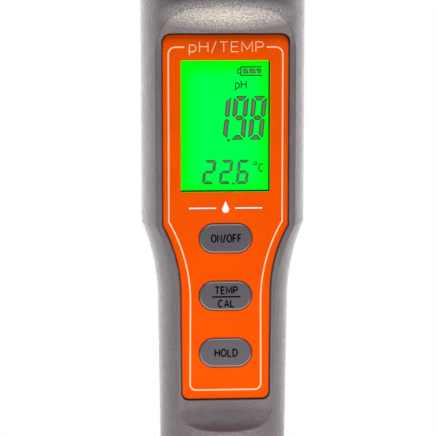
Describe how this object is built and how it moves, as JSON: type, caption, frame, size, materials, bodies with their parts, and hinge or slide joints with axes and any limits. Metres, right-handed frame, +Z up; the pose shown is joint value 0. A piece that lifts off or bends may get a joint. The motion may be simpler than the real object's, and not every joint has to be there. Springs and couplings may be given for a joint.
{
  "type": "ph meter",
  "caption": "Pen-type pH and temperature tester: flared grey housing, orange faceplate with green display and keys, screw battery cap, replaceable electrode and storage cap.",
  "frame": {"origin": "middle of the storage cap's foot, on which the tester stands", "axes": "+Z up along the pen from storage cap to battery cap, display and keys face -Y, +X to the right seen from the front"},
  "size_m": [0.038, 0.038, 0.188],
  "materials": {
    "housing_plastic": "fine spark-textured grey ABS",
    "key_rubber": "matte grey silicone rubber",
    "overlay_orange": "satin orange faceplate with printed lines",
    "clear_window": "clear hard-coated acrylic",
    "lcd_green": "lit liquid crystal panel",
    "backlight_white": "white light guide",
    "black_rubber": "black nitrile rubber",
    "frame_black": "black moulded plastic",
    "chassis_white": "natural white ABS",
    "board_green": "green solder mask on glass fibre laminate",
    "chip_black": "black moulding compound",
    "steel": "nickel-plated steel",
    "gold_contact": "gold-flashed brass",
    "barrel_plastic": "dark grey polycarbonate",
    "thin_glass": "thin pH glass",
    "silver_wire": "silver wire with silver chloride",
    "porous_white": "porous ceramic",
    "cap_clear": "frosted clear polypropylene",
    "sponge_yellow": "wet cellulose sponge"
  },
  "bodies": {
    "root": {"main_housing": "housing_plastic", "face_overlay": "overlay_orange", "display_window": "clear_window", "keypad_membrane": "key_rubber", "display_gasket": "black_rubber", "lcd_glass": "lcd_green", "backlight_panel": "backlight_white", "lcd_connector_strip": "black_rubber", "lcd_frame": "frame_black", "main_board": "board_green", "main_chip": "chip_black", "amplifier_chip": "chip_black", "tact_switches": "frame_black", "chassis": "chassis_white", "board_screws": "steel", "battery_holder": "frame_black", "button_cells": "steel", "battery_contacts": "steel", "probe_socket": "frame_black", "socket_contacts": "gold_contact"},
    "on_off_key": {"key_on_off": "key_rubber", "on_off_switch_stem": "frame_black"},
    "temp_cal_key": {"key_temp_cal": "key_rubber", "temp_cal_switch_stem": "frame_black"},
    "hold_key": {"key_hold": "key_rubber", "hold_switch_stem": "frame_black"},
    "cap_carrier": {"battery_cap_seal": "black_rubber"},
    "top_cap": {"battery_cap": "housing_plastic", "battery_contact_bridge": "steel"},
    "electrode": {"electrode_barrel": "barrel_plastic", "electrode_pins": "gold_contact", "electrode_seal": "black_rubber", "cap_seal": "black_rubber", "glass_bulb": "thin_glass", "inner_reference_wire": "silver_wire", "outer_reference_wire": "silver_wire", "reference_junction": "porous_white", "temperature_sensor": "steel", "probe_guard": "barrel_plastic"},
    "lock_nut": {"lock_ring": "housing_plastic"},
    "storage_cap": {"probe_cap": "cap_clear", "storage_sponge": "sponge_yellow"}
  },
  "joints": [
    {"name": "on_off_press", "type": "slide", "parent": "root", "child": "on_off_key", "axis": [0, 1, 0], "range_m": [0, 0.0006], "stiffness_N_per_m": 1200, "springref_m": -0.0002},
    {"name": "temp_cal_press", "type": "slide", "parent": "root", "child": "temp_cal_key", "axis": [0, 1, 0], "range_m": [0, 0.0006], "stiffness_N_per_m": 1200, "springref_m": -0.0002},
    {"name": "hold_press", "type": "slide", "parent": "root", "child": "hold_key", "axis": [0, 1, 0], "range_m": [0, 0.0006], "stiffness_N_per_m": 1200, "springref_m": -0.0002},
    {"name": "battery_cap_rise", "type": "slide", "parent": "root", "child": "cap_carrier", "axis": [0, 0, 1], "range_m": [0, 0.0075]},
    {"name": "battery_cap_turn", "type": "hinge", "parent": "cap_carrier", "child": "top_cap", "pos_m": [0, 0, 0.18], "axis": [0, 0, 1], "range_deg": [0, 900]},
    {"name": "electrode_release", "type": "slide", "parent": "root", "child": "electrode", "axis": [0, 0, -1], "range_m": [0, 0.006]},
    {"name": "lock_ring_turn", "type": "hinge", "parent": "electrode", "child": "lock_nut", "pos_m": [0, 0, 0.047], "axis": [0, 0, -1], "range_deg": [0, 720]},
    {"name": "probe_cap_pull", "type": "slide", "parent": "electrode", "child": "storage_cap", "axis": [0, 0, -1], "range_m": [0, 0.042]}
  ],
  "couplings": [
    {"joint": "battery_cap_turn", "follows": "battery_cap_rise", "rad_per_m": 2094.4},
    {"joint": "lock_ring_turn", "follows": "electrode_release", "rad_per_m": 2094.4}
  ]
}
